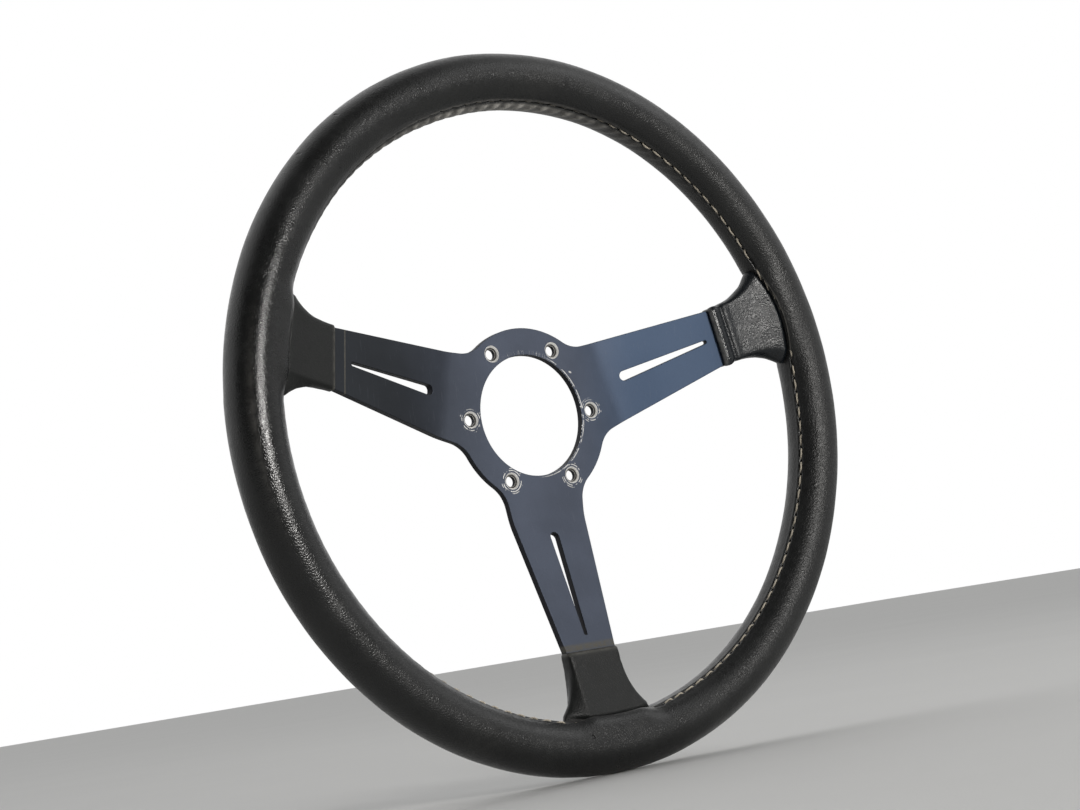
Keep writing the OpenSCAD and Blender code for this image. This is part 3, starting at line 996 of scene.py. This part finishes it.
def plate_outline():
    """Outline of the blank, anticlockwise."""
    edge = spoke_edge()
    below = edge[::-1] * [1, -1]
    hub_turn = atan2(edge[-1, 1], edge[-1, 0])
    order = [radians(15), radians(165), radians(270)]
    loop = []
    for spoke, following in zip(order, order[1:] + [order[0] + 2 * pi]):
        loop += [turned(below, spoke), turned(edge, spoke)]
        lobe = arc_points((0, 0), HUB_R, spoke + hub_turn, following - hub_turn, 40)
        loop.append(lobe[1:-1])
    return np.concatenate(loop)


def slot_loop():
    """Tapered slot with round ends, clockwise, lying along X in the blank."""
    inner = flat_along(SLOT_FROM) + SLOT_WIDE_R
    outer = flat_along(SLOT_TO) - SLOT_NARROW_R
    tilt = asin((SLOT_WIDE_R - SLOT_NARROW_R) / (outer - inner))
    quarter = pi / 2
    far = arc_points((outer, 0), SLOT_NARROW_R, quarter - tilt, -quarter + tilt, 12)
    near = arc_points((inner, 0), SLOT_WIDE_R, -quarter + tilt, -3 * quarter - tilt, 24)
    return np.concatenate([far, near])


def round_loop(centre, radius, steps):
    return arc_points(centre, radius, 2 * pi, 0, steps)[:-1]


def inset_loop(loop, distance):
    """A closed loop moved to its left, which is into the metal."""
    before, after = unit(loop - np.roll(loop, 1, 0)), unit(np.roll(loop, -1, 0) - loop)
    normal = unit(np.stack([-(before + after)[:, 1], (before + after)[:, 0]], -1))
    cosine = np.clip(np.sum(normal * np.stack([-after[:, 1], after[:, 0]], -1), 1), 0.5, 1)
    return loop + normal * (distance / cosine)[:, None]


def inside(points, loop):
    """Which points lie inside a closed loop."""
    x, y = points[:, 0][:, None], points[:, 1][:, None]
    ax, ay = loop.T
    bx, by = np.roll(loop, -1, 0).T
    crosses = (ay > y) != (by > y)
    with np.errstate(divide="ignore", invalid="ignore"):
        at = ax + (y - ay) / (by - ay) * (bx - ax)
    return (crosses & (x < at)).sum(1) % 2 == 1


def fill_face(loops, extra):
    """Triangles between an outer loop and the holes in it, using some extra points."""
    points = np.concatenate(loops + [extra])
    edges, first = [], 0
    for loop in loops:
        n = len(loop)
        edges += [(first + i, first + (i + 1) % n) for i in range(n)]
        first += n
    out = delaunay_2d_cdt([Vector(p) for p in points.tolist()], edges, [], 0, 1e-7)
    placed = np.array([tuple(v) for v in out[0]])
    triangles = np.array(out[2])
    middle = placed[triangles].mean(axis=1)
    keep = inside(middle, loops[0])
    for hole in loops[1:]:
        keep &= ~inside(middle, hole)
    return placed, triangles[keep]


def bend_rows():
    """Points across each spoke along its bends, so that its faces can curve there."""
    rows = []
    tongue = flat_along(TONGUE_BEND_AT)
    for along in [*np.linspace(BEND_FROM, BEND_FROM + BEND_ARC, 8), tongue - 0.0005, tongue + 0.0005]:
        half = SPOKE_HALF_W - along * tan(SPOKE_TAPER) - 0.0015
        across = np.linspace(-half, half, 15)
        rows.append(np.stack([np.full_like(across, along), across], -1))
    rows = np.concatenate(rows)
    return np.concatenate([turned(rows, b["angle"]) for b in BOOTS.values()])


def plate_loops():
    """Each edge of the blank: its loop, its profile as (inset, height), and 1 where it's bare."""
    b = EDGE_BREAK
    back_break = [(0, b), (b * 0.3, b * 0.3), (b, 0)]
    plain = [(b, PLATE_T), (b * 0.3, PLATE_T - b * 0.3), (0, PLATE_T - b), *back_break]
    sunk = [(COUNTERSINK + 0.0001, PLATE_T), (COUNTERSINK, PLATE_T - 0.0001),
            (0, PLATE_T - COUNTERSINK), *back_break]
    loops = [(plate_outline(), plain, 0), (round_loop((0, 0), BORE_R, 180), plain, 0)]
    for k in range(6):
        turn = k * pi / 3
        centre = (BOLT_CIRCLE_R * cos(turn), BOLT_CIRCLE_R * sin(turn))
        loops.append((round_loop(centre, BOLT_R, 48), sunk, 1))
    for boot in BOOTS.values():
        loops.append((turned(slot_loop(), boot["angle"]), plain, 0))
        for side in (-1, 1):
            hole = round_loop((flat_along(RIVET_AT), side * RIVET_SPREAD), RIVET_R, 24)
            loops.append((turned(hole, boot["angle"]), plain, 0))
    return loops


def blank_mesh(loops):
    """The unbent plate: vertices, faces, a material index for each face, and where edges break."""
    flat, faces, slots, edge, first = [], [], [], [], 0
    extra = bend_rows()
    for ring, height, flip in ((0, PLATE_T, False), (5, 0.0, True)):
        rings = [inset_loop(loop, profile[ring][0]) for loop, profile, _ in loops]
        placed, triangles = fill_face(rings, extra)
        flat.append(np.column_stack([placed, np.full(len(placed), height)]))
        faces += ((triangles[:, ::-1] if flip else triangles) + first).tolist()
        slots += [0] * len(triangles)
        edge.append(np.zeros(len(placed)))
        first += len(placed)
    for loop, profile, bare in loops:
        wall = np.array([
            np.column_stack([inset_loop(loop, i), np.full(len(loop), h)]) for i, h in profile])
        rows, count = wall.shape[:2]
        flat.append(wall.reshape(-1, 3))
        faces += grid_quads(rows, count, False, first).tolist()
        slots += (bare * (np.repeat(np.arange(rows - 1), count) < 2)).tolist()
        # 1 on the side walls between the edge breaks, which the material paints with shade
        edge.append(np.repeat([float(i == 0) for i, _ in profile], count))
        first += rows * count
    return np.concatenate(flat), faces, slots, np.concatenate(edge)


def bend_blank(flat):
    """Bends all three spokes of the blank and turns it to face the front."""
    x, y, height = flat.T
    out_x, out_y, depth = x.copy(), y.copy(), height.copy()
    for boot in BOOTS.values():
        c, s = cos(boot["angle"]), sin(boot["angle"])
        along, across = x * c + y * s, -x * s + y * c
        here = along > BEND_FROM
        bent, bent_depth = bend_spoke(along, height)
        out_x = np.where(here, bent * c - across * s, out_x)
        out_y = np.where(here, bent * s + across * c, out_y)
        depth = np.where(here, bent_depth, depth)
    return np.stack([out_x, -depth, out_y], -1)


def make_plate(anodised, bare):
    flat, faces, slots, edge = blank_mesh(plate_loops())
    plate = mesh_object("spoke_plate_detail", bend_blank(flat), faces, [anodised, bare], slots)
    # Marks the side walls for the material's painted shade
    paint(plate, "edge", edge)
    merge_doubles(plate)
    # The bore's front edge is rubbed bright on the right
    co = np.array([v.co for v in plate.data.vertices])
    x, y, z = co.T
    near_edge = EDGE_BREAK * 0.8
    bore_edge = (np.hypot(x, z) < BORE_R + near_edge) & (y < -PLATE_T + near_edge)
    paint(plate, "wear_and_highlight", bore_edge * bell(angle_from(np.arctan2(z, x), radians(-10)), radians(60)))
    place(plate, "anodised_plate", "spoke_plate")


def merge_doubles(thing):
    """Joins the face and wall meshes where their vertices meet."""
    bm = bmesh.new()
    bm.from_mesh(thing.data)
    bmesh.ops.remove_doubles(bm, verts=bm.verts, dist=2e-6)
    bmesh.ops.recalc_face_normals(bm, faces=bm.faces)
    bm.to_mesh(thing.data)
    bm.free()
    thing.data.set_sharp_from_angle(angle=radians(15))


# ---- stage


def make_camera():
    """The photograph's viewing angle: from the front, left of the wheel and a little below."""
    azimuth, elevation, roll = radians(36.06), radians(6.52), radians(-9.31)
    forward = Vector((
        sin(azimuth) * cos(elevation),
        cos(azimuth) * cos(elevation),
        sin(elevation),
    ))
    aim = Vector((-0.0069, -0.0213, 0.0022))
    distance = 1.0323
    data = bpy.data.cameras.new("camera")
    data.lens = 69.93
    data.sensor_width = 36
    camera = bpy.data.objects.new("camera", data)
    camera.location = aim - forward * distance
    camera.rotation_mode = "QUATERNION"
    camera.rotation_quaternion = forward.to_track_quat("-Z", "Y") @ Quaternion((0, 0, 1), roll)
    bpy.context.scene.collection.objects.link(camera)
    bpy.context.scene.camera = camera


def area_light(name, place_at, size, power, colour=(1, 1, 1), spread=180):
    data = bpy.data.lights.new(name, "AREA")
    data.shape = "RECTANGLE"
    data.size, data.size_y = size
    data.energy = power
    data.color = colour
    data.spread = radians(spread)
    light = bpy.data.objects.new(name, data)
    light.location = place_at
    light.rotation_mode = "QUATERNION"
    light.rotation_quaternion = (Vector((0, 0, 0)) - Vector(place_at)).to_track_quat("-Z", "Z")
    bpy.context.scene.collection.objects.link(light)


def make_floor():
    size = 12.0
    corners = [(x, y, 0.0) for x, y in ((-size, -size), (size, -size), (size, size), (-size, size))]
    floor = mesh_object("floor", np.array(corners), [(0, 1, 2, 3)], [floor_material()])
    floor.location.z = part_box("rim_leather")[0].z


def make_world():
    """A white wall behind the wheel and a bright side to its right, which shape the leather."""
    world = bpy.data.worlds.new("studio")
    world.use_nodes = True
    bpy.context.scene.world = world
    n = NodeTree(world.node_tree)
    place = n.node("ShaderNodeTexCoord").outputs["Generated"]
    x, y, _ = n.node("ShaderNodeSeparateXYZ", Vector=place).outputs
    dim = 0.12
    wall = n.remap(y, -0.15, 0.45, dim, 1.0)
    side = n.remap(x, 0.15, 0.75, dim, 0.75)
    background = world.node_tree.nodes["Background"].inputs
    n.feed(background["Strength"], n.larger(wall, side))
    n.feed(background["Color"], (1.0, 1.0, 1.0, 1))


def make_stage():
    make_floor()
    make_world()
    bpy.context.scene.view_settings.view_transform = "Standard"
    area_light("lamp", (0.24, -3.5, 0.54), (1.24, 0.48), 8.0, (1.0, 0.98, 0.95), 60)
    area_light("overhead", (1.5, -1.0, 1.3), (1.2, 0.9), 5)


def main():
    rim = leather_material(
        "rim_leather", (0.0045, 0.0048, 0.0047), (0.34, 0.326, 0.30), 0.33, nicks=NICKS)
    matt = leather_material("boot_leather", (0.0044, 0.0050, 0.0047), (0.13, 0.125, 0.11), 0.48, 0.34)
    glossy = leather_material(
        "glossy_boot_leather", (0.0040, 0.0056, 0.0074), (0.16, 0.16, 0.155), 0.29)
    boots = {"left": matt, "right": glossy, "bottom": matt}
    pale = thread_material("pale_thread", (0.56, 0.50, 0.40), (0.035, 0.032, 0.028))
    dark = thread_material("dark_thread", (0.030, 0.029, 0.027), (0.015, 0.015, 0.014))
    make_camera()
    make_stage()
    make_rim_leather(rim)
    for name in BOOTS:
        make_boot(name, BOOTS[name], boots[name])
    make_foam(foam_material())
    make_seam_threads(pale)
    make_boot_threads(pale, dark)
    make_plate(plate_material(), bare_metal_material())
    for node, colour in (("rim_hoop", (0.36, 0.35, 0.34)), ("hoop_rivets", (0.55, 0.55, 0.54))):
        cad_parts[node].data.materials.clear()
        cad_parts[node].data.materials.append(steel_material(node, colour))


main()
